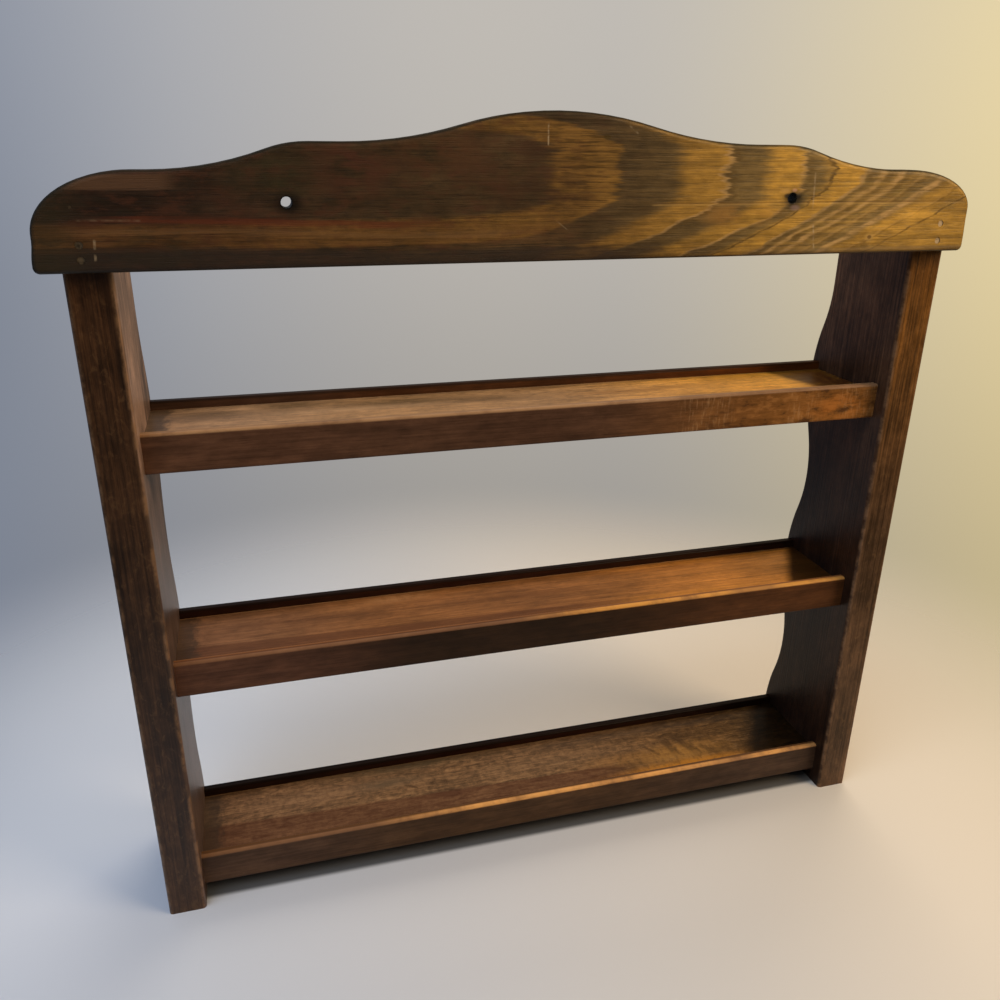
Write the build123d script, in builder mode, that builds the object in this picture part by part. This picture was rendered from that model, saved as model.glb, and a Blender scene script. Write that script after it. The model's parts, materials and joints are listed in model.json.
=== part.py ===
from build123d import *
import os

# A small wooden wall shelf: two scalloped sides carry three shallow shelves, and a shaped crest board
# with two hanging holes is nailed across the back. Millimetres. The front faces -Y, the wall is at +Y
# and +Z is up. The origin is on the floor, under the middle of the whole shelf.

# Sides
carcass_width = 417.0         # over the outer faces of the two sides
side_thickness = 19.0
side_depth = 71.5             # from the rear edge to a lobe of the front edge
scallop_depth = 10.4          # how far the front edge falls back between two lobes
lobe_drop = 11.0              # from a shelf's upper edge down to the middle of its lobe
lobe_share = 0.58             # part of each sweep that curves outwards, the rest curves inwards
top_sweep = 57.5              # height of the sweep above the uppermost lobe
side_top_radius = 8.0
side_round = 2.0              # rounded long edges of the sides

# Shelves: each board lies between a front and a rear rail, flush with them underneath
foot_gap = 8.5                # from the floor to the bottom shelf
lower_pitch = 120.5           # bottom shelf to middle shelf
upper_pitch = 118.0           # middle shelf to top shelf
board_thickness = 14.5
lip_height = 4.5              # how far the rails stand above the board
rail_thickness = 5.0
rail_round = 1.2
rear_inset = 8.5              # from the sides' rear edges to the rear rails
front_inset = 3.0             # from the lobes to the front rails

# Crest board: its two ends were cut by hand and differ a little
crest_thickness = 9.5
crest_offset = 4.5            # from the sides' middle to the crown and the hanging holes, towards +X
left_overhang = 2.9           # beyond the side, at the foot of the end
right_overhang = 8.6
left_flare = 0.6              # how far the end leans outwards on its way down
right_flare = 1.2
left_end_height = 20.0        # from the foot up to the elliptical corner
right_end_height = 14.2
left_corner_length = 36.6     # elliptical corner, along X
right_corner_length = 38.3
top_opening = 72.3            # from the top shelf's upper edge to the crest's lower edge
crest_seat = 17.9             # how far the sides run up in front of the crest
shoulder_height = 38.2
knuckle_height = 48.9
crown_height = 61.7
shoulder_length = 5.7         # level stretch after the corner
shoulder_sweep = 62.5         # rise from the shoulder to the knuckle, along X
shoulder_share = 0.73         # part of that rise that curves inwards, from the shoulder on
knuckle_length = 13.6         # level stretch before the rise to the crown
crown_share = 0.45            # part of that rise that curves outwards, from the crown on
crest_corner_radius = 2.5     # lower corners
crest_round = 2.0             # rounded edges of both faces

# Hanging holes
hanging_spacing = 230.2
hanging_diameter = 4.5
hanging_height = 25.9         # above the crest's lower edge

# Nails
nail_diameter = 1.8
nail_head_diameter = 3.0
nail_head_height = 1.2
nail_tip = 3.0
nail_sink = 0.3               # heads are punched this far below the surface
nail_clearance = 0.05         # all round each nail in its hole
crest_nail_length = 30.0
shelf_nail_length = 38.0
left_crest_nails = (5.2, 13.4)     # heights above the crest's lower edge
right_crest_nails = (5.1, 10.8)
left_nail_inset = 13.0        # from the side's outer face to its crest nails
right_nail_inset = 9.4
shelf_nail_inset = 12.0       # from a shelf board's long edges

# Worked out from the sizes above
total_depth = side_depth + crest_thickness
front_y = -total_depth / 2
wall_y = total_depth / 2
rear_y = wall_y - crest_thickness
waist_y = front_y + scallop_depth
middle_x = (left_overhang - right_overhang) / 2
crown_x = middle_x + crest_offset
bay_width = carcass_width - 2 * side_thickness
left_x = middle_x - carcass_width / 2
right_x = middle_x + carcass_width / 2

rail_height = board_thickness + lip_height
front_rail_y = front_y + front_inset + rail_thickness / 2
rear_rail_y = rear_y - rear_inset - rail_thickness / 2
board_front_y = front_rail_y + rail_thickness / 2
board_rear_y = rear_rail_y - rail_thickness / 2

undersides = {
    "bottom": foot_gap,
    "middle": foot_gap + lower_pitch,
    "top": foot_gap + lower_pitch + upper_pitch,
}
crest_bottom = undersides["top"] + rail_height + top_opening
side_height = crest_bottom + crest_seat
crest_width = carcass_width + left_overhang + right_overhang


def rising_sweep(start, end, share, along):
    """Draws two tangent arcs in an S; both ends run along the given direction."""
    turn = start + (end - start) * share
    first = TangentArc(start, turn, tangent=along)
    TangentArc(turn, end, tangent=first % 1)


def crest_half(reach, flare, end_height, corner_length):
    """Draws half of the crest's outline about X 0, from its crown to the middle of its lower edge."""
    with BuildLine() as half:
        end_x = reach - flare
        corner_start = Vector(end_x - corner_length, shoulder_height)
        shoulder = corner_start - Vector(shoulder_length, 0)
        knuckle_end = Vector(shoulder.X - shoulder_sweep, knuckle_height)
        knuckle = knuckle_end - Vector(knuckle_length, 0)
        rising_sweep(Vector(0, crown_height), knuckle, crown_share, (1, 0))
        Line(knuckle, knuckle_end)
        rising_sweep(knuckle_end, shoulder, 1 - shoulder_share, (1, 0))
        Line(shoulder, corner_start)
        EllipticalCenterArc(
            (corner_start.X, end_height),
            corner_length,
            shoulder_height - end_height,
            start_angle=0,
            arc_size=90,
        )
        foot = Vector(reach, crest_corner_radius)
        rising_sweep(Vector(end_x, end_height), foot, 0.5, (0, -1))
        corner_end = Vector(reach - crest_corner_radius, 0)
        TangentArc(foot, corner_end, tangent=(0, -1))
        Line(corner_end, (0, 0))
    return half.line


def nail_hole(length):
    """Cuts the hole of one sunk nail, driven along -Z of each current location."""
    CounterBoreHole(
        nail_diameter / 2 + nail_clearance,
        nail_head_diameter / 2 + nail_clearance,
        nail_sink + nail_head_height,
        nail_sink + length + nail_clearance,
    )


def nail(length):
    """Makes one nail, driven along -Z, with its head just below the origin."""
    with BuildPart() as made:
        with BuildSketch(Plane.XZ):
            with BuildLine():
                Polyline(
                    (0, -nail_sink),
                    (nail_head_diameter / 2, -nail_sink),
                    (nail_head_diameter / 2, -nail_sink - nail_head_height),
                    (nail_diameter / 2, -nail_sink - nail_head_height),
                    (nail_diameter / 2, nail_tip - nail_sink - length),
                    (0, -nail_sink - length),
                    close=True,
                )
            make_face()
        revolve(axis=Axis.Z)
    return made.part


def save(builder, name):
    """Labels a finished piece and writes it to its own file."""
    builder.part.label = name
    export_step(builder.part, f"parts/{name}.step")


os.makedirs("parts", exist_ok=True)

# Where the nails are driven: through the crest's back into the sides' rear edges, and through the
# sides' outer faces into the ends of the shelf boards
crest_nail_places = [
    Plane((x, wall_y, crest_bottom + height), z_dir=(0, 1, 0))
    for x, heights in (
        (left_x + left_nail_inset, left_crest_nails),
        (right_x - right_nail_inset, right_crest_nails),
    )
    for height in heights
]
shelf_nail_places = {
    level: [
        Plane((x, y, underside + board_thickness / 2), z_dir=outward)
        for x, outward in ((left_x, (-1, 0, 0)), (right_x, (1, 0, 0)))
        for y in (board_front_y + shelf_nail_inset, board_rear_y - shelf_nail_inset)
    ]
    for level, underside in undersides.items()
}

# Sides: the front edge swells into a lobe at each shelf and falls back between them
lobe_heights = [underside + rail_height - lobe_drop for underside in undersides.values()]
for side_name, side_x in (("left_side", left_x), ("right_side", right_x - side_thickness)):
    with BuildPart() as side:
        with BuildSketch(Plane.YZ.offset(side_x)):
            with BuildLine():
                Line((front_y, 0), (front_y, lobe_heights[0]))
                for lower, upper in zip(lobe_heights, lobe_heights[1:]):
                    waist = Vector(waist_y, (lower + upper) / 2)
                    rising_sweep(Vector(front_y, lower), waist, lobe_share, (0, 1))
                    rising_sweep(waist, Vector(front_y, upper), 1 - lobe_share, (0, 1))
                sweep_end = Vector(waist_y, lobe_heights[-1] + top_sweep)
                rising_sweep(Vector(front_y, lobe_heights[-1]), sweep_end, lobe_share, (0, 1))
                corner = Vector(waist_y, side_height - side_top_radius)
                Line(sweep_end, corner)
                TangentArc(corner, (waist_y + side_top_radius, side_height), tangent=(0, 1))
                Polyline(
                    (waist_y + side_top_radius, side_height),
                    (rear_y, side_height),
                    (rear_y, 0),
                    (front_y, 0),
                )
            make_face()
        extrude(amount=side_thickness)
        outline_edges = side.edges().filter_by(Axis.X, reverse=True)
        foot_edges = outline_edges.group_by(Axis.Z)[0]
        fillet(outline_edges - foot_edges, side_round)
        with Locations(crest_nail_places):
            nail_hole(crest_nail_length)
        for places in shelf_nail_places.values():
            with Locations(places):
                nail_hole(shelf_nail_length)
    save(side, side_name)

# Crest board
left_half = crest_half(
    crest_width / 2 + crown_x, left_flare, left_end_height, left_corner_length
).mirror(Plane.YZ)
right_half = crest_half(
    crest_width / 2 - crown_x, right_flare, right_end_height, right_corner_length
)
with BuildPart() as crest_board:
    with BuildSketch(Plane((crown_x, wall_y, crest_bottom), x_dir=(1, 0, 0), z_dir=(0, -1, 0))):
        with BuildLine():
            add(left_half)
            add(right_half)
        make_face()
    extrude(amount=crest_thickness)
    fillet(crest_board.edges().filter_by(Axis.Y, reverse=True), crest_round)
    with Locations(
        Plane((crown_x - hanging_spacing / 2, wall_y, crest_bottom + hanging_height), z_dir=(0, 1, 0)),
        Plane((crown_x + hanging_spacing / 2, wall_y, crest_bottom + hanging_height), z_dir=(0, 1, 0)),
    ):
        Hole(hanging_diameter / 2)
    with Locations(crest_nail_places):
        nail_hole(crest_nail_length)
save(crest_board, "crest_board")

with BuildPart() as crest_nails:
    with Locations(crest_nail_places):
        add(nail(crest_nail_length))
save(crest_nails, "crest_nails")

# Shelves
for level, underside in undersides.items():
    with BuildPart() as board:
        with Locations((middle_x, (board_front_y + board_rear_y) / 2, underside + board_thickness / 2)):
            Box(bay_width, board_rear_y - board_front_y, board_thickness)
        with Locations(shelf_nail_places[level]):
            nail_hole(shelf_nail_length)
    save(board, f"{level}_shelf")

    # Each rail is rounded on every long edge but the one glued flush with the board's underside
    for rail_name, rail_y, glued_y in (
        ("front_rail", front_rail_y, board_front_y),
        ("rear_rail", rear_rail_y, board_rear_y),
    ):
        with BuildPart() as rail:
            with Locations((middle_x, rail_y, underside + rail_height / 2)):
                Box(bay_width, rail_thickness, rail_height)
            long_edges = rail.edges().filter_by(Axis.X)
            fillet(long_edges.sort_by_distance((middle_x, glued_y, underside))[1:], rail_round)
        save(rail, f"{level}_{rail_name}")

with BuildPart() as shelf_nails:
    for places in shelf_nail_places.values():
        with Locations(places):
            add(nail(shelf_nail_length))
save(shelf_nails, "shelf_nails")
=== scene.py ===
"""A small wooden wall shelf in Blender: stained and varnished boards, seen from the shelf's back.

Colours are display values from 0 to 255, and lengths in the materials are millimetres. There, along
runs from the shelf's right side, on the left in the photograph, to its left side.
"""

import json
import math

import bpy
from mathutils import Matrix, Vector


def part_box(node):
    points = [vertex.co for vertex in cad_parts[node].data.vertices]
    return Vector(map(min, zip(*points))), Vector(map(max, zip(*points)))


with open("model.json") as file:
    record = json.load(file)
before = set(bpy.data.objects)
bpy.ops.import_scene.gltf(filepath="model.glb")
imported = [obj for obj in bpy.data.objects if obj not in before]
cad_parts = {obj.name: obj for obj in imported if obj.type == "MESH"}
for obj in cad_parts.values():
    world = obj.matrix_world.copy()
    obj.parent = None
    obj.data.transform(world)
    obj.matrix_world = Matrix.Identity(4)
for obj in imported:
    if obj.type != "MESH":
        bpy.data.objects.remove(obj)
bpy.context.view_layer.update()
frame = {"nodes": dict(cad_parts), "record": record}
nodes = frame["nodes"]
MM = 0.001

# Sizes read from the frame, in millimetres
crest_low, crest_high = (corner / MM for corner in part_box("crest_board"))
left_low, left_high = (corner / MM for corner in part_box("left_side"))
right_low, right_high = (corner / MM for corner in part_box("right_side"))
hanging = next(mount for mount in frame["record"]["mounts"] if mount["name"] == "hanging_holes")
hole_spacing = hanging["dims"]["spacing_x_mm"]
hole_radius = hanging["dims"]["hole_r_mm"]
hole_middle, hole_height = hanging["pos_m"][0] / MM, hanging["pos_m"][2] / MM

# Depth of the relief in the materials, in metres
coarse_grain = 0.00012
fine_grain = 0.0001
grime_depth = 0.0002

# Growth rings of the crest board, along it and above its lower edge. Their heart ends in blunt
# tips, which stand upright between two heights and lean along the board below and above them.
heart_place = -13.7
heart_width = 20.5
heart_bottom = 26.4
heart_top = 45.1
climb_start = 100          # from here on the lower height climbs
climb_slope = 0.13
lower_lean = 1.19
lower_power = 1.21
upper_lean = 0.157

# Pale bands, from one ring to another
gold_bands = ((57, 79), (100, 119), (132, 150))

# Hard borders of rings: the ring, half the width, the strengths of the pale line and the dark one
ring_borders = (
    (79.5, 2.4, 0.6, 0.6), (119, 2.4, 0.5, 0.5), (131, 1.6, 0.0, 0.9), (151, 2.6, 0.5, 0.4),
    (161, 3.4, 0.6, 0.5), (173, 3.8, 0.65, 0.45), (187, 2.4, 0.25, 0.3), (202, 5.5, 0.85, 0.3),
    (221, 2.0, 0.2, 0.35), (237, 2.2, 0.1, 0.8),
)

# Blotches of the crest's stain: where the noise shows, where along the board, strength and colour
crest_blotches = (
    ((0.48, 0.66), (60, -40), 0.5, (84, 49, 33)),
    ((0.5, 0.34), (40, -60), 0.45, (40, 35, 26)),
    ((0.5, 0.7), (60, 140), 0.25, (158, 132, 66)),
)

# Tinted patches of the crest: centre, radii, strength and colour
crest_patches = (
    ((-91, 38), (15, 10), 0.75, (90, 50, 36)), ((-118, 36), (17, 9), 0.6, (60, 54, 33)),
    ((-72, 25), (20, 10), 0.55, (66, 50, 32)), ((-140, 21), (22, 8), 0.5, (78, 48, 34)),
    ((-40, 43), (26, 9), 0.5, (90, 58, 38)), ((-20, 31), (22, 9), 0.5, (76, 48, 30)),
    ((-170, 7), (18, 6), 0.5, (60, 54, 34)), ((-55, 47), (14, 7), 0.5, (90, 56, 32)),
    ((4, 29), (7, 8), 0.5, (52, 32, 22)), ((-12, 47), (8, 5), 0.6, (60, 38, 24)),
    ((52, 3), (70, 3), 0.5, (60, 40, 28)), ((154, 4), (11, 4), 0.6, (88, 62, 32)),
    ((87, 19), (17, 4), 0.6, (184, 128, 56)),
)

# Scratches of the crest: start, end, half the width and strength
crest_scratches = (
    ((-7.0, 57.1), (-6.8, 48.1), 0.5, 0.55), ((126.4, 13.7), (128.5, 2.1), 0.6, 0.45),
    ((124, 37), (125, 21), 0.6, 0.3), ((-195.6, 20), (-172.7, 19.6), 0.6, 0.12),
    ((-197.3, 25), (-196.8, 22), 0.7, 0.3), ((-190.4, 12.6), (-191, 4.5), 0.7, 0.35),
    ((-3, 18), (5, 12), 0.4, 0.15), ((30, 56), (34, 53), 0.6, 0.3),
)

# Small marks and chips of the crest: centre, radii, softness, strength and colour
crest_marks = (
    ((19.7, 51.5), (1.6, 0.9), 0.4, 0.7, (70, 52, 14)),
    ((158.4, 7.7), (2.4, 1.8), 0.6, 0.4, (214, 170, 96)),
    ((158.4, 7.7), (1.2, 0.9), 0.4, 0.7, (80, 46, 20)),
    ((110.9, 26.9), (1.7, 1.0), 0.5, 0.85, (26, 17, 10)),
    ((116.2, 26.5), (1.6, 0.8), 0.5, 0.85, (26, 17, 10)),
    ((115.4, 21.6), (2.2, 1.2), 0.6, 0.6, (150, 120, 110)),
    ((109.6, 29.0), (2.4, 1.0), 0.6, 0.6, (206, 156, 84)),
    ((114.2, 29.4), (1.2, 0.7), 0.6, 0.6, (214, 160, 130)),
)

# Sides: dark and pale grain outside, then on the inner face; pale ones run from below to above.
# The inner face's colours are painted light: painted sheen on the right side's pale grey one,
# painted shade on the left side's dark one
side_looks = {
    "left_side": dict(
        low=left_low, high=left_high, inner=left_high.x,
        deep=(48, 32, 17), pale=((104, 76, 54), (134, 86, 36)),
        inner_deep_with_painted_light=(27, 18, 14), inner_pale_with_painted_light=((56, 36, 24), (108, 76, 54)), shine=0.15),
    "right_side": dict(
        low=right_low, high=right_high, inner=right_low.x,
        deep=(32, 20, 12), pale=((80, 54, 34), (82, 53, 31)),
        inner_deep_with_painted_light=(56, 40, 34), inner_pale_with_painted_light=((92, 72, 66), (182, 146, 130)), shine=0.3),
}

# Shelves. Tones run along the board; on the top and middle boards the bright one is partly painted
# sheen of the warm light. The red band along the rear rail has a border and a slope. The painted
# shade at the left side has its start, end, lean and amount. Spots have a centre, radii, strength
# and colour, and gouges a start, an end and half the width.
shelf_looks = {
    "top": dict(
        tones=((154, 121, 92), (160, 120, 80), (212, 146, 52)), mottle=0.5,
        red_band=(30, 0), shade=(163, 170, -0.31, 0.7),
        spots=(
            ((-120, -25), (14, 5), 0.7, (78, 60, 36)), ((-158, -18), (16, 5), 0.6, (88, 68, 46)),
            ((-66, -20), (24, 6), 0.7, (80, 60, 32)), ((-22, -16), (22, 5), 0.6, (84, 60, 30)),
            ((22, -29), (18, 3), 0.5, (96, 66, 30)), ((60, -12), (34, 3), 0.45, (120, 76, 30)),
            ((-90, -12), (40, 3), 0.4, (176, 140, 104)),
            ((-145, -30), (16, 2), 0.4, (176, 138, 100)),
            # The last spot makes the wood under the painted shade at the left end redder
            ((184, -8), (16, 26), 0.9, (112, 52, 20))),
        gouges=()),
    "middle": dict(
        tones=((126, 88, 62), (128, 82, 44), (170, 108, 42)), mottle=0.3,
        red_band=(5, 0.025), shade=(165, 173, 0.6, 0.9),
        spots=(
            ((-69, -27), (16, 4), 0.5, (178, 128, 84)), ((-96, -21), (18, 4), 0.4, (160, 108, 62)),
            ((-122, -15), (30, 2.4), 0.4, (74, 42, 22)), ((12, -12), (40, 2.6), 0.4, (92, 54, 26)),
            ((90, 10), (60, 4), 0.45, (196, 128, 44)), ((110, -24), (40, 3), 0.3, (120, 68, 26))),
        gouges=()),
    "bottom": dict(
        tones=((116, 86, 62), (114, 84, 56), (88, 60, 28)), mottle=0.8,
        red_band=(1, 0.03), shade=(148, 164, 0.64, 0.87),
        spots=(
            ((-66, -31), (44, 5), 0.6, (72, 66, 50)), ((90, -27), (80, 5), 0.5, (58, 48, 40)),
            ((-80, -17), (18, 4), 0.5, (64, 60, 46)), ((-42, 1), (16, 3), 0.6, (58, 36, 26)),
            ((106, 2), (26, 8), 0.6, (160, 112, 48)), ((66, 0), (22, 6), 0.45, (136, 94, 46)),
            ((104, 14), (42, 4.5), 0.8, (176, 112, 26)), ((20, -12), (50, 7), 0.3, (120, 92, 66)),
            ((-120, -16), (50, 6), 0.35, (132, 102, 76))),
        gouges=(
            ((-70, -12), (-62, -8), 1.2), ((-46, -2), (-38, 1), 1.3), ((42, 3), (66, 7), 1.6),
            ((101, -14), (104, 3), 4.0), ((86, -10), (93, 1), 1.8), ((109, -15), (118, 5), 4.6),
            ((122, -2), (131, 9), 3.0))),
}

# Rails. Tones run along the rail. Its face is scuffed and its upper edge worn by the given
# strengths, the edge from one place on, with tints for its bright line, which is partly wear and
# partly painted highlight, its crown and its inner strip.
rail_looks = {
    "rear_rail": {
        "top": dict(
            tones=((92, 62, 45), (84, 57, 41), (130, 84, 40)), scuffed=0.3,
            worn_from=-200, worn=0.7,
            wear_and_highlight_tint=(178, 136, 96), crown_tint=(112, 80, 54), inner_tint=(165, 125, 88)),
        "middle": dict(
            tones=((84, 54, 38), (44, 28, 15), (78, 46, 23)), scuffed=0.0, worn_from=10, worn=1.0,
            wear_and_highlight_tint=(208, 144, 68), crown_tint=(96, 58, 34), inner_tint=(135, 86, 48)),
        "bottom": dict(
            tones=((76, 54, 39), (71, 49, 30), (70, 51, 38)), scuffed=0.0, worn_from=-70, worn=1.0,
            wear_and_highlight_tint=(214, 152, 86), crown_tint=(92, 60, 34), inner_tint=(92, 60, 34)),
    },
    # The front rails' faces are seen from behind and lie in shade: their dark tones and tints,
    # darker on the lower levels, are painted shade
    "front_rail": {
        "top": dict(
            tones=((74, 51, 38), (84, 51, 29), (98, 54, 22)), scuffed=0.0, worn_from=300, worn=0.0,
            wear_and_highlight_tint=(18, 10, 6), crown_tint=(24, 14, 9), inner_tint=(24, 14, 9)),
        "middle": dict(
            tones=((46, 24, 14), (48, 25, 15), (50, 29, 16)), scuffed=0.0, worn_from=300, worn=0.0,
            wear_and_highlight_tint=(14, 8, 5), crown_tint=(20, 11, 7), inner_tint=(20, 11, 7)),
        "bottom": dict(
            tones=((34, 18, 10), (42, 20, 10), (40, 22, 12)), scuffed=0.0, worn_from=300, worn=0.0,
            wear_and_highlight_tint=(14, 8, 5), crown_tint=(14, 8, 5), inner_tint=(14, 8, 5)),
    },
}

# Shifts in the noise, so that no two boards and no two rails have the same grain
board_shift = 7.3          # from one level's board to the next
rail_shift = 5.1           # from one level's rails to the next
first_rail_shift = 9

# The floor is clear beyond the second of these distances from the middle
floor_fade = (240, 580)

# The photograph's camera, in metres, radians and millimetres of lens
camera_place = (0.13615, 0.4299, 0.3900)
camera_target = (0.01505, 0.0, 0.2095)
camera_roll = 0.0103
camera_lens = 32.48

# Soft square lights, in metres and watts; only a mirrored one shows in the varnish
lights = {
    "warm_key": dict(
        place=(-0.9, -1.5, 1.5), target=(0.0, 0.0, 0.15), size=1.6, power=23.0,
        colour=(1.0, 0.88, 0.7), mirrored=False),
    "warm_side": dict(
        place=(-0.75, 0.6, 0.8), target=(-0.1, 0.0, 0.3), size=0.5, power=7.0,
        colour=(1.0, 0.78, 0.5), mirrored=True),
    "cool_top": dict(
        place=(0.9, 0.7, 1.9), target=(0.1, 0.1, 0.0), size=1.4, power=22.0,
        colour=(0.78, 0.88, 1.0), mirrored=False),
}


def srgb(red, green, blue):
    """A linear colour from display values."""
    return tuple(
        ((c / 255 + 0.055) / 1.055) ** 2.4 if c > 10 else c / 255 / 12.92
        for c in (red, green, blue)
    )


class Graph:
    """A tree of shader nodes."""

    def __init__(self, tree):
        self.tree = tree

    def add(self, kind, **settings):
        """A new node with some of its settings."""
        node = self.tree.nodes.new(kind)
        for name, value in settings.items():
            setattr(node, name, value)
        return node

    def plug(self, value, slot):
        """Feeds an input from a field, a colour socket, a display colour or a number."""
        if isinstance(value, Field):
            self.tree.links.new(value.socket, slot)
        elif isinstance(value, bpy.types.NodeSocket):
            self.tree.links.new(value, slot)
        elif isinstance(value, tuple):
            slot.default_value = (*srgb(*value), 1.0)
        else:
            slot.default_value = value

    def axes(self, kind):
        """X, Y and Z of one kind of coordinates."""
        split = self.add("ShaderNodeSeparateXYZ")
        self.plug(self.add("ShaderNodeTexCoord").outputs[kind], split.inputs[0])
        return [Field(self, out) for out in split.outputs]

    def mix(self, factor, below, above):
        """The colour below where the factor is 0, the one above where it is 1."""
        node = self.add("ShaderNodeMix", data_type="RGBA")
        self.plug(factor, node.inputs["Factor"])
        self.plug(below, node.inputs[6])
        self.plug(above, node.inputs[7])
        return node.outputs[2]


class Field:
    """A number worked out by shader nodes, combined with ordinary arithmetic."""

    def __init__(self, graph, socket):
        self.graph = graph
        self.socket = socket

    def math(self, operation, *others, clamp=False):
        node = self.graph.add("ShaderNodeMath", operation=operation, use_clamp=clamp)
        for slot, value in zip(node.inputs, (self, *others)):
            self.graph.plug(value, slot)
        return Field(self.graph, node.outputs[0])

    def __add__(self, other):
        return self.math("ADD", other)

    def __sub__(self, other):
        return self.math("SUBTRACT", other)

    def __rsub__(self, other):
        return -self + other

    def __mul__(self, other):
        return self.math("MULTIPLY", other)

    def __truediv__(self, other):
        return self.math("DIVIDE", other)

    def __pow__(self, other):
        return self.math("POWER", other)

    def __neg__(self):
        return self * -1

    def __abs__(self):
        return self.math("ABSOLUTE")

    def most(self, other):
        return self.math("MAXIMUM", other)

    def root(self):
        return self.math("SQRT")

    def clamped(self):
        return self.math("ADD", 0.0, clamp=True)

    def step(self, start, end):
        """Rises smoothly from 0 at start to 1 at end; start may be the larger one."""
        node = self.graph.add("ShaderNodeMapRange", interpolation_type="SMOOTHSTEP")
        rising = start < end
        self.graph.plug(self, node.inputs["Value"])
        self.graph.plug(start if rising else end, node.inputs["From Min"])
        self.graph.plug(end if rising else start, node.inputs["From Max"])
        self.graph.plug(0.0 if rising else 1.0, node.inputs["To Min"])
        self.graph.plug(1.0 if rising else 0.0, node.inputs["To Max"])
        return Field(self.graph, node.outputs["Result"])

    def band(self, start, end, soft):
        """1 between start and end, 0 outside, with soft borders."""
        half = soft / 2
        return self.step(start - half, start + half) * self.step(end + half, end - half)

    def line(self, place, width, core):
        """1 within core of a place, 0 beyond width."""
        return abs(self - place).step(width, core)


class Paint(Graph):
    """One material, with its object coordinates in millimetres and the colour so far."""

    def __init__(self, name):
        self.material = bpy.data.materials.new(name)
        self.material.use_nodes = True
        super().__init__(self.material.node_tree)
        self.shader = self.tree.nodes["Principled BSDF"]
        self.x, self.y, self.z = (axis / MM for axis in self.axes("Object"))
        self.colour = None

    def noise(self, x, y, z, detail=2.0, rough=0.5, distortion=0.0):
        """Fractal noise about 0.5, one cell per unit of the given coordinates."""
        vector = self.add("ShaderNodeCombineXYZ")
        for value, slot in zip((x, y, z), vector.inputs):
            self.plug(value, slot)
        node = self.add("ShaderNodeTexNoise")
        self.plug(vector.outputs[0], node.inputs["Vector"])
        self.plug(1.0, node.inputs["Scale"])
        self.plug(detail, node.inputs["Detail"])
        self.plug(rough, node.inputs["Roughness"])
        self.plug(distortion, node.inputs["Distortion"])
        return Field(self, node.outputs[0])

    def scale(self, factor):
        """Multiplies the colour so far."""
        node = self.add("ShaderNodeVectorMath", operation="SCALE")
        self.plug(self.colour, node.inputs[0])
        self.plug(factor, node.inputs["Scale"])
        self.colour = node.outputs[0]

    def vary(self, noise, span, factors):
        """Multiplies the colour so far by a factor that follows a noise over its span."""
        first, last = factors
        self.scale(noise.step(*span) * (last - first) + first)

    def cover(self, mask, colour):
        """Lays a colour over the one so far where the mask is 1."""
        self.colour = self.mix(mask, self.colour, colour)

    def finish(self, roughness, shine, relief, depth):
        """Plugs in the colour, the gloss and a relief whose unit is depth metres high."""
        bump = self.add("ShaderNodeBump")
        self.plug(1.0, bump.inputs["Strength"])
        self.plug(depth, bump.inputs["Distance"])
        self.plug(relief, bump.inputs["Height"])
        self.plug(bump.outputs[0], self.shader.inputs["Normal"])
        self.plug(self.colour, self.shader.inputs["Base Color"])
        self.plug(roughness, self.shader.inputs["Roughness"])
        self.plug(shine, self.shader.inputs["Specular IOR Level"])
        return self.material


def ellipse(a, b, centre, radii, soft):
    """1 inside an ellipse, 0 outside; soft is the width of its border as a share of its radii."""
    across = (a - centre[0]) / radii[0]
    up = (b - centre[1]) / radii[1]
    return (across * across + up * up).root().step(1 + soft, 1 - soft)


def stroke(a, b, start, end, width):
    """1 along a straight scratch from start to end."""
    run = (end[0] - start[0], end[1] - start[1])
    length = math.hypot(*run)
    way = (run[0] / length, run[1] / length)
    along = (a - start[0]) * way[0] + (b - start[1]) * way[1]
    across = (b - start[1]) * way[0] - (a - start[0]) * way[1]
    return along.band(0, length, width * 2) * abs(across).step(width, width * 0.3)


def growth_rings(paint, along, height, teeth, sway):
    """Rings of the crest board, numbered by their distance from the heart along its middle."""
    wobble = paint.noise(along * 0.06, height * 0.2, 27.0, detail=3) - 0.5
    toothed = height.step(14, 30) * along.step(140, 110)
    fray = teeth * (toothed * 17 + 4) + sway * 9 + wobble * 7
    spread = along - heart_place + fray
    nose = (along + fray + heart_place + (spread * spread + heart_width ** 2).root()) / 2
    hinge = (along - climb_start).most(0.0) * climb_slope + heart_bottom
    below = (hinge - height).most(0.0) ** lower_power * lower_lean
    over = (height - heart_top).most(0.0)
    return nose + below + over * over * upper_lean


def stain_crest(paint, along, height, fibre, daub, sway):
    """Streaks and tints of the crest's stain, most of them at its dark end."""
    wavy = height + (fibre - 0.5) * 5
    streak = wavy.line(34.3, 3.6, 2.2) * along.band(-198, -160, 10)
    paint.cover(streak * 0.75, (102, 73, 52))
    patchy = paint.noise(along * 0.06, height * 0.14, 13.0, detail=4, rough=0.6).step(0.35, 0.6)
    for centre, radii, strength, tint in crest_patches:
        paint.cover(ellipse(along, height, centre, radii, 0.9) * patchy * strength, tint)
    low = wavy + sway * 3 - along.step(-50, -180) * 3
    amber = low.band(7.5, 16.5, 3) * along.step(-180, -60) * along.step(20, -10)
    amber = amber * (fibre.step(0.3, 0.6) * 0.35 + 0.05) * (daub.step(0.3, 0.6) * 0.6 + 0.5)
    paint.cover(amber, (114, 76, 42))
    paint.cover(low.line(16.5, 1.8, 0.4) * along.band(-190, -60, 40) * 0.6, (104, 50, 30))
    paint.cover(low.line(12.4, 1.5, 0.4) * along.band(-200, -20, 30) * 0.3, (136, 98, 60))
    foot = low.step(7.5, 5) * along.step(60, 0)
    paint.scale(1 - foot * 0.35)
    paint.cover(foot * 0.4, (66, 54, 46))
    paint.cover(along.step(-188, -206) * 0.4, (58, 52, 34))


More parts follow.
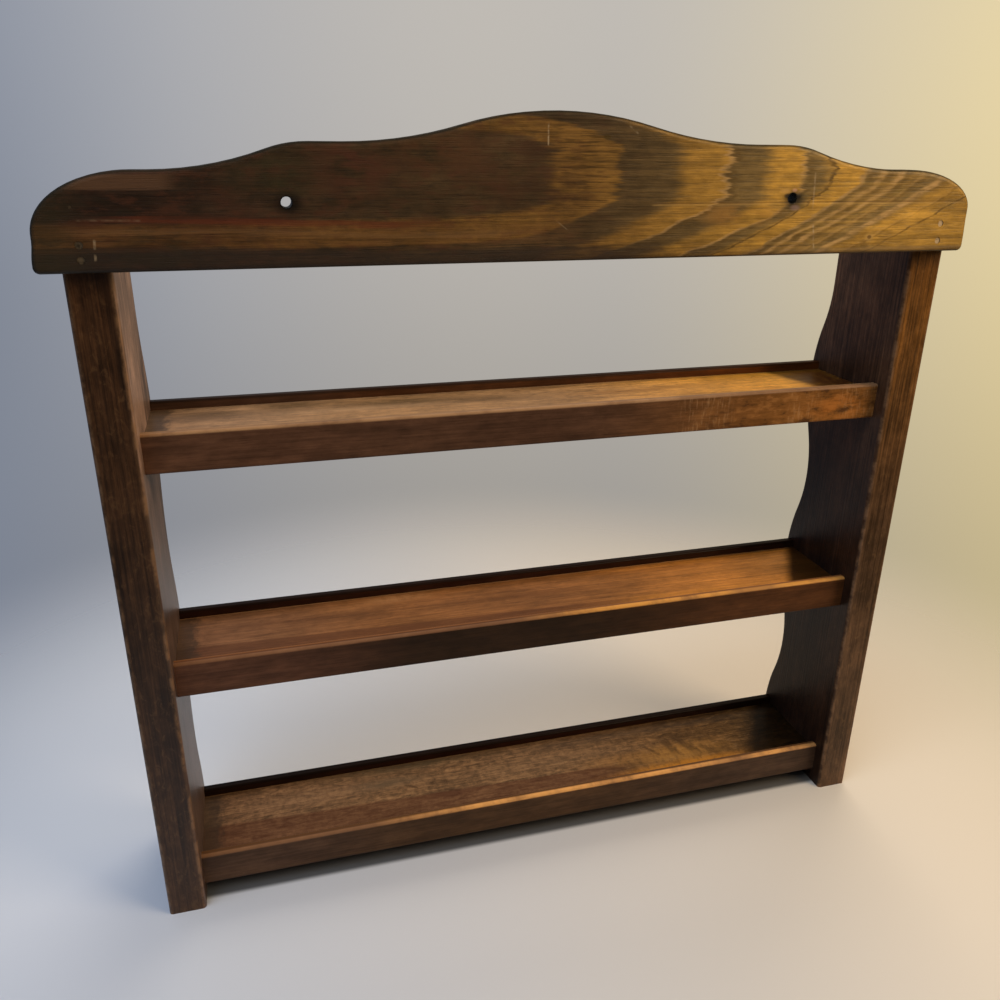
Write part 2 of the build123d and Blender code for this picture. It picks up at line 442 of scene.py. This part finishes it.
def mark_crest(paint, along, height, cloud):
    """A line scribed through the hole at the pale end, scratches, painted shade in and around the
    holes, and marks.
    """
    scribed = along.band(43, 209, 3) * (cloud * 0.5 + 0.5)
    paint.cover(height.line(24.1, 0.5, 0.15) * scribed * 0.5, (92, 60, 26))
    paint.cover(height.line(23.4, 0.6, 0.15) * scribed * 0.35, (210, 164, 92))
    flecks = paint.noise(along * 0.22, height * 0.3, 21.0, detail=2).step(0.36, 0.6)
    for start, end, width, strength in crest_scratches:
        scratch = stroke(along, height, start, end, width) * flecks
        paint.cover(scratch * strength, (196, 170, 134))
    # Painted shade: each hole's bore is painted near black, with a dark patch around it
    for side in (-1, 1):
        across = along + hole_middle - side * hole_spacing / 2
        up = paint.z - hole_height
        out = (across * across + up * up).root()
        paint.cover(ellipse(across, up, (0.6, -0.4), (5.2, 3.8), 0.6) * 0.85, (20, 15, 11))
        paint.cover(out.step(hole_radius + 0.6, hole_radius + 0.1), (10, 8, 6))
    for centre, radii, soft, strength, tint in crest_marks:
        paint.cover(ellipse(along, height, centre, radii, soft) * strength, tint)


def crest_wood():
    """The crest board: flat-sawn pine with tongues of growth rings, stained darker at one end."""
    paint = Paint("crest_wood")
    along = -paint.x
    height = paint.z - crest_low.z
    fibre = paint.noise(along * 0.02, height * 0.9, paint.y * 0.9, detail=6, rough=0.62)
    pores = paint.noise(along * 0.1, height * 2.6, paint.y * 2.6, detail=2)
    cloud = paint.noise(along * 0.022, height * 0.09, 4.0, detail=3)
    teeth = paint.noise(along * 0.018, height * 0.75, 9.0, detail=4, rough=0.6) - 0.5
    sway = paint.noise(along * 0.02, height * 0.14, 17.0, detail=2) - 0.5
    daub = paint.noise(along * 0.12, height * 0.25, 41.0, detail=4, rough=0.6)
    ring = growth_rings(paint, along, height, teeth, sway)

    # Pale bands of the rings, and the stain that runs from dark to pale along the board
    gold = ring.step(-1, 5) * ring.step(30, 26)
    for first, last in gold_bands:
        gold = gold + ring.step(first - 5, first + 6) * ring.step(last + 1.6, last - 1.6)
    gold = gold + ring.step(203, 212) * 0.8 + ring.step(150, 165) * ring.step(196, 186) * 0.25
    gold = (gold * (cloud * 0.5 + 0.75)).clamped()
    stain = along.step(-190, -10) * 0.2 + along.step(0, 130) * 0.8
    deep = paint.mix(stain, (53, 37, 27), (130, 102, 55))
    pale = paint.mix(stain, (87, 57, 31), (192, 143, 57))
    paint.colour = paint.mix(gold, deep, pale)
    paint.vary(fibre, (0.25, 0.75), (0.68, 1.38))
    paint.vary(cloud, (0.25, 0.75), (0.8, 1.2))
    paint.vary(daub, (0.3, 0.7), (0.82, 1.18))
    dashes = paint.noise(along * 0.07, height * 0.8, 2.0, detail=2).step(0.5, 0.64)
    tip = along.band(-4, 26, 12) * gold
    paint.scale(1 - dashes * (tip * 0.35 + 0.12))
    paint.vary(pores, (0.56, 0.7), (1.0, 0.7))
    blotch = paint.noise(along * 0.09, height * 0.2, 31.0, detail=5, rough=0.65)
    for shown, stretch, strength, tint in crest_blotches:
        paint.cover(blotch.step(*shown) * along.step(*stretch) * strength, tint)

    # Hard borders at the pale end: a soft pale line, some with a darker one beyond
    broken = paint.noise(along * 0.09, height * 0.3, 6.0, detail=5, rough=0.6).step(0.3, 0.62)
    broken = (broken * 0.85 + 0.15) * along.step(20, 70)
    for place, width, strength, shadow in ring_borders:
        paint.cover(ring.line(place, width, width * 0.2) * broken * strength, (206, 160, 98))
        beyond = ring.line(place + width * 1.5, width, 0.3)
        paint.cover(beyond * broken * shadow, (92, 66, 26))
    stain_crest(paint, along, height, fibre, daub, sway)
    mark_crest(paint, along, height, cloud)

    # The rounded arris is darker, and dust has settled in its lower edge at the pale end
    arris = paint.y.step(crest_high.y - 0.05, crest_high.y - 0.7)
    paint.cover((arris * (teeth + 0.85)).clamped(), (34, 28, 14))
    paint.cover(height.step(3.6, 2.0) * along.step(60, 150) * 0.5, (118, 98, 72))
    paint.vary(along, (184, 206), (1.0, 0.8))
    relief = fibre + (1 - pores.step(0.5, 0.75)) * 0.5
    return paint.finish((1 - pores) * 0.25 + 0.3, 0.2, relief, coarse_grain)


def side_wood(name, low, high, inner, deep, pale, inner_deep_with_painted_light, inner_pale_with_painted_light, shine):
    """A side board between two corners, its grain running up; its inner face has its own colours,
    which are painted light: sheen on the right side, shade on the left.
    """
    paint = Paint(f"{name}_wood")
    fibre = paint.noise(paint.x * 0.8, paint.y * 0.8, paint.z * 0.012, detail=6, rough=0.62)
    pores = paint.noise(paint.x * 2.4, paint.y * 2.4, paint.z * 0.08, detail=2)
    cloud = paint.noise(paint.x * 0.05, paint.y * 0.05, paint.z * 0.02, detail=3)
    stains = paint.noise(paint.x * 0.14, paint.y * 0.14, paint.z * 0.06, detail=6, rough=0.7)
    mottle = paint.noise(
        paint.x * 0.3, paint.y * 0.3, paint.z * 0.16, detail=5, rough=0.7, distortion=0.8)
    grain = (fibre * 0.7 + cloud * 0.5).step(0.35, 0.85)
    upper = paint.z.step(170, 320)
    within = paint.x.line(inner, 1.2, 0.3)
    outside = 1 - within
    plain = paint.mix(grain, deep, paint.mix(upper, *pale))
    # Painted light: the inner face's colours stand in for the sheen on the right side and the shade
    # on the left side
    inside = paint.mix(grain, inner_deep_with_painted_light, paint.mix(upper, *inner_pale_with_painted_light))
    paint.colour = paint.mix(within, plain, inside)
    paint.vary(pores, (0.5, 0.68), (1.0, 0.7))
    paint.scale(paint.z.step(200, 340) * outside * 0.3 + 1)
    paint.vary(stains, (0.3, 0.7), (0.75, 1.25))
    paint.vary(mottle, (0.3, 0.7), (0.82, 1.18))
    paint.cover(mottle.step(0.54, 0.68) * outside * 0.2, (124, 92, 60))

    # Bare wood shows where the rear arrises are rubbed
    beside = abs(paint.x - (low.x + high.x) / 2).step(7.0, 8.6)
    arris = paint.y.step(high.y - 2.4, high.y - 0.8) * beside
    rubbed = paint.noise(paint.x * 0.2, 3.0, paint.z * 0.1, detail=5, rough=0.65).step(0.42, 0.6)
    paint.cover(arris * (rubbed * 0.55 + 0.08), (134, 100, 72))
    return paint.finish((1 - pores) * 0.2 + 0.28, shine, fibre, coarse_grain)


def shelf_wood(name, seed, tones, mottle, red_band, shade, spots, gouges):
    """A shelf board; its tones run from the right side to the left one, where it is shaded."""
    paint = Paint(f"{name}_wood")
    along = -paint.x
    fibre = paint.noise(along * 0.02 + seed, paint.y * 0.7, paint.z * 0.7, detail=6, rough=0.62)
    pores = paint.noise(along * 0.08, paint.y * 2.2, paint.z * 2.2 + seed, detail=2)
    cloud = paint.noise(along * 0.03, paint.y * 0.08, seed, detail=4)
    swirl = paint.noise(
        along * 0.11, paint.y * 0.34, seed + 3, detail=6, rough=0.7, distortion=1.0)
    fleck = paint.noise(along * 0.3, paint.y * 0.16, seed + 6, detail=4, rough=0.65)
    # On the top and middle boards the bright tone towards the left side is partly painted sheen of
    # the warm light, partly the wood's own tone
    dull, warm, bright = tones
    base = paint.mix(along.step(-190, -60), dull, warm)
    paint.colour = paint.mix(along.step(0, 150), base, bright)
    paint.vary(fibre, (0.25, 0.75), (0.7, 1.3))
    paint.vary(cloud, (0.3, 0.7), (0.8, 1.15))
    fine = mottle ** 2 * 0.35
    paint.vary(fleck, (0.3, 0.7), (1 - fine, 1 + fine))
    paint.vary(swirl, (0.3, 0.7), (1 - mottle / 2, 1 + mottle / 2))
    paint.vary(pores, (0.56, 0.7), (1.0, 0.7))
    paint.cover(swirl.step(0.54, 0.7) * mottle * 0.5, (146, 112, 76))
    paint.cover(swirl.step(0.46, 0.3) * mottle * 0.5, (56, 38, 22))
    for centre, radii, strength, tint in spots:
        mask = ellipse(along, paint.y, centre, radii, 0.8) * (fleck.step(0.35, 0.55) * 0.5 + 0.5)
        paint.cover(mask * strength, tint)

    wavy_along = along + (fleck - 0.5) * 5
    wavy_y = paint.y + (swirl - 0.5) * 5
    for start, end, width in gouges:
        mark = stroke(wavy_along, wavy_y, start, end, width)
        paint.cover(mark * (swirl.step(0.35, 0.6) * 0.45 + 0.2), (50, 32, 15))

    # A redder band along the rear rail, a dark strip at the right end, a pale line by the front
    # rail and painted shade in the left corner
    border, slope = red_band
    rear = (paint.y - along * slope - border + (fibre - 0.5) * 4).step(-0.8, 0.8)
    paint.cover(rear * along.step(84, 44) * 0.6, (78, 42, 24))
    paint.cover((along + (fleck - 0.5) * 12).step(-174, -180) * 0.75, (58, 46, 37))
    paint.cover(paint.y.step(-31.0, -31.8) * (0.6 - mottle * 0.6), (168, 126, 86))
    first, last, lean, amount = shade
    # Painted shade: the board darkens towards the left side, where the side board shades it
    paint.scale(1 - (along + paint.y * lean).step(first, last) * amount)
    return paint.finish((1 - pores) * 0.2 + 0.22, 0.12, fibre, fine_grain)


def rail_wood(
        name, seed, high, tones, scuffed, worn_from, worn, wear_and_highlight_tint, crown_tint, inner_tint):
    """A rail up to a corner; its grain and its tones run from the right side to the left one."""
    paint = Paint(f"{name}_wood")
    along = -paint.x
    fibre = paint.noise(along * 0.02 + seed, paint.y * 0.8, paint.z * 0.8, detail=6, rough=0.62)
    pores = paint.noise(along * 0.08, paint.y * 2.4, paint.z * 2.4 + seed, detail=2)
    cloud = paint.noise(along * 0.03, paint.z * 0.1, seed, detail=4)
    patch = paint.noise(along * 0.1, paint.z * 0.22, seed + 5, detail=5, rough=0.65)
    dull, dark, bright = tones
    base = paint.mix(along.step(-140, -60), dull, dark)
    paint.colour = paint.mix(along.step(20, 150), base, bright)
    paint.vary(fibre, (0.2, 0.8), (0.72, 1.27))
    paint.vary(cloud, (0.3, 0.7), (0.8, 1.2))
    paint.vary(patch, (0.3, 0.7), (0.85, 1.15))
    paint.vary(pores, (0.56, 0.7), (1.0, 0.7))

    # Rubbed patches and upright scuffs across the grain
    far = along.step(60, 130)
    paint.cover(patch.step(0.52, 0.64) * far * scuffed * 1.8, (160, 108, 58))
    paint.cover(patch.step(0.46, 0.36) * far * scuffed * 2.0, (62, 38, 26))
    scratch = paint.noise(along * 0.9, paint.z * 0.12, seed + 8, detail=3, rough=0.6)
    rubbed = along.band(76, 104, 12) + along.band(138, 158, 8) + along.step(166, 174)
    scuffs = scratch.step(0.5, 0.66) * rubbed * patch.step(0.3, 0.6)
    paint.cover(scuffs * scuffed, (190, 148, 104))
    bare = ellipse(along, high.z - paint.z, (170, 11), (16, 6), 0.8) * patch.step(0.4, 0.6)
    paint.cover(bare * scuffed * 1.6, (190, 112, 44))

    # The worn upper edge: its crown, a strip by the board, the rear rim and a bright line between,
    # the bright line partly wear and partly painted highlight
    crown = paint.z.step(high.z - 1.5, high.z - 0.6)
    rim = crown * paint.y.step(high.y - 2.4, high.y - 1.4)
    inner = crown * paint.y.step(high.y - 2.6, high.y - 3.4)
    ahead = along.step(worn_from - 30, worn_from + 30) * (1 - along.step(40, 110) * scuffed * 2)
    ahead = ahead * (1 - along.band(118, 148, 14) * 0.5)
    line = crown * paint.y.step(high.y - 3.2, high.y - 2.2) * ahead
    wear = cloud.step(0.36, 0.56) * 0.45 + patch.step(0.34, 0.6) * 0.4 + fibre * 0.3 + 0.1
    paint.cover(crown * 0.7, crown_tint)
    paint.cover(inner * 0.8, inner_tint)
    paint.cover(rim * (patch * 0.6 + 0.2) * worn, (150, 108, 78))
    # Painted highlight, partly wear: the bright line along the crown
    paint.cover(line * wear.clamped() * worn, wear_and_highlight_tint)
    return paint.finish((1 - pores) * 0.2 + 0.3, 0.12, fibre, fine_grain)


def nail_steel():
    """Nail heads, dulled and stained over."""
    paint = Paint("nail_steel")
    grime = paint.noise(paint.x * 0.3, paint.y * 0.3, paint.z * 0.3, detail=3)
    paint.colour = paint.mix(grime.step(0.3, 0.55), (60, 42, 28), (196, 168, 130))
    paint.vary(paint.x, (0, 100), (1.0, 0.25))
    paint.plug(0.3, paint.shader.inputs["Metallic"])
    return paint.finish(grime * 0.4 + 0.25, 0.5, grime, grime_depth)


def dress(name, material):
    """Gives a CAD node one material."""
    node = nodes[name]
    node.data.materials.clear()
    node.data.materials.append(material)


def add_object(name, data):
    """A new object in the scene."""
    thing = bpy.data.objects.new(name, data)
    bpy.context.scene.collection.objects.link(thing)
    return thing


def aimed(place, target):
    """The matrix of something at a place that looks at a target."""
    turn = (Vector(target) - Vector(place)).to_track_quat("-Z", "Y")
    return Matrix.Translation(place) @ turn.to_matrix().to_4x4()


def make_camera():
    """The camera, at the photograph's place and angle."""
    camera = add_object("camera", bpy.data.cameras.new("camera"))
    camera.data.lens = camera_lens
    camera.data.sensor_width = 36.0
    camera.data.clip_start = 0.01
    roll = Matrix.Rotation(camera_roll, 4, "Z")
    camera.matrix_world = aimed(camera_place, camera_target) @ roll
    bpy.context.scene.camera = camera


def make_floor():
    """A plain pale floor, with a painted shadow under the bottom shelf and painted warm and cool
    light across it, that fades into the background.
    """
    mesh = bpy.data.meshes.new("floor")
    reach = 3.0
    corners = [(-reach, -reach, 0), (reach, -reach, 0), (reach, reach, 0), (-reach, reach, 0)]
    mesh.from_pydata(corners, [], [(0, 1, 2, 3)])
    floor = add_object("floor", mesh)
    paint = Paint("floor")
    # Painted light: the floor's tint runs from the warm light's colour on the -X side to the cool
    # light's on the +X side
    paint.colour = paint.mix(paint.x.step(-350, 350), (214, 201, 184), (202, 208, 222))
    # Painted shadow: the floor is darkened under the bottom shelf, standing in for its contact
    # shadow
    painted_shadow_beneath = paint.y.step(26, 22) * paint.y.step(-42, -34)
    painted_shadow_beneath = painted_shadow_beneath * paint.x.band(left_low.x + 4, right_high.x - 4, 3)
    paint.scale(1 - painted_shadow_beneath * 0.85)
    paint.plug(paint.colour, paint.shader.inputs["Base Color"])
    paint.plug(0.7, paint.shader.inputs["Roughness"])
    paint.plug(0.1, paint.shader.inputs["Specular IOR Level"])
    away = (paint.x * paint.x + paint.y * paint.y).root()
    blend = paint.add("ShaderNodeMixShader")
    paint.plug(away.step(*floor_fade), blend.inputs[0])
    paint.plug(paint.shader.outputs[0], blend.inputs[1])
    paint.plug(paint.add("ShaderNodeBsdfTransparent").outputs[0], blend.inputs[2])
    paint.plug(blend.outputs[0], paint.tree.nodes["Material Output"].inputs["Surface"])
    mesh.materials.append(paint.material)


def make_light(name, place, target, size, power, colour, mirrored):
    """A soft square light, turned to a target."""
    lamp = bpy.data.lights.new(name, "AREA")
    lamp.shape = "SQUARE"
    lamp.size = size
    lamp.energy = power
    lamp.color = colour
    light = add_object(name, lamp)
    light.matrix_world = aimed(place, target)
    light.visible_glossy = mirrored


def make_world():
    """Pale surroundings: cool towards +X, warm towards -X, and dimmer towards +Y."""
    world = bpy.data.worlds.new("studio")
    world.use_nodes = True
    graph = Graph(world.node_tree)
    background = graph.tree.nodes["Background"]
    x, y, z = graph.axes("Generated")
    neutral = graph.mix(x.step(0.45, -0.3), (138, 150, 172), (192, 187, 180))
    colour = graph.mix(x.step(-0.35, -0.9), neutral, (250, 226, 160))
    graph.plug(colour, background.inputs["Color"])
    path = graph.add("ShaderNodeLightPath")
    seen = Field(graph, path.outputs["Is Camera Ray"])
    mirrored = Field(graph, path.outputs["Is Glossy Ray"])
    lit = y.step(0.6, -0.3) * 0.6 + z.step(-0.1, 0.4) * 0.25 + 0.15
    rise = z.step(-0.6, 0.15) * 0.4 + 0.6 + z.step(-0.35, -0.6) * 0.15
    rise = rise * (1 - x.step(0.0, 0.4) * z.step(-0.4, -0.1) * 0.28)
    strength = lit.most(seen) * rise * (1 - mirrored * x.step(0.5, -0.2) * 0.6)
    graph.plug(strength, background.inputs["Strength"])
    bpy.context.scene.world = world


for side, looks in side_looks.items():
    dress(side, side_wood(side, **looks))
dress("crest_board", crest_wood())
steel = nail_steel()
for nails in ("crest_nails", "shelf_nails"):
    dress(nails, steel)
for level, name in enumerate(("bottom", "middle", "top")):
    board = f"{name}_shelf"
    dress(board, shelf_wood(board, level * board_shift, **shelf_looks[name]))
    for shift, (rail, looks) in enumerate(rail_looks.items(), first_rail_shift):
        piece = f"{name}_{rail}"
        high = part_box(piece)[1] / MM
        seed = level * rail_shift + shift
        dress(piece, rail_wood(piece, seed, high, **looks[name]))

make_camera()
make_floor()
make_world()
for name, settings in lights.items():
    make_light(name, **settings)
bpy.context.scene.view_settings.view_transform = "Standard"
